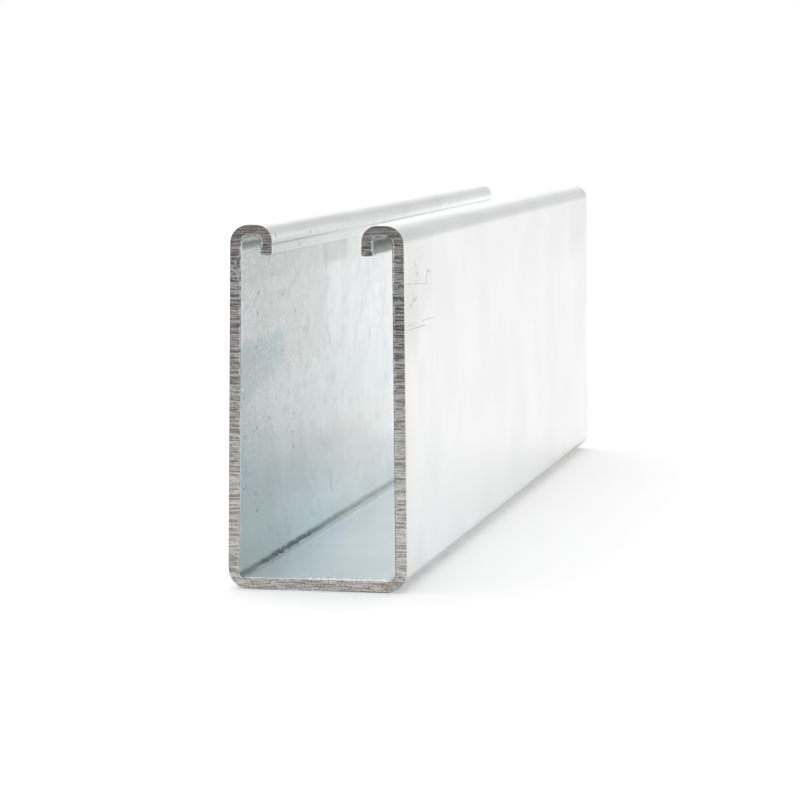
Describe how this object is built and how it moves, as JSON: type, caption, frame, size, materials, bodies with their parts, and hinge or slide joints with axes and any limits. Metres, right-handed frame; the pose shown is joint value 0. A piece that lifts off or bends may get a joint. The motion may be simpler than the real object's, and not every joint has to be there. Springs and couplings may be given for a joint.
{
  "type": "strut channel",
  "caption": "Deep C-section steel framing channel with a plain web and walls and in-turned lips either side of a full-length slot.",
  "frame": {"origin": "middle of the underside of the web, halfway along the length", "axes": "+Y along the length, +X across the width, +Z from the web up to the slot"},
  "size_m": [0.0412, 0.3048, 0.0826],
  "materials": {
    "galvanised_steel": "zinc coated strip, pale and satin, with bare grey saw-cut ends"
  },
  "bodies": {
    "root": {"strut_channel": "galvanised_steel"}
  },
  "joints": []
}
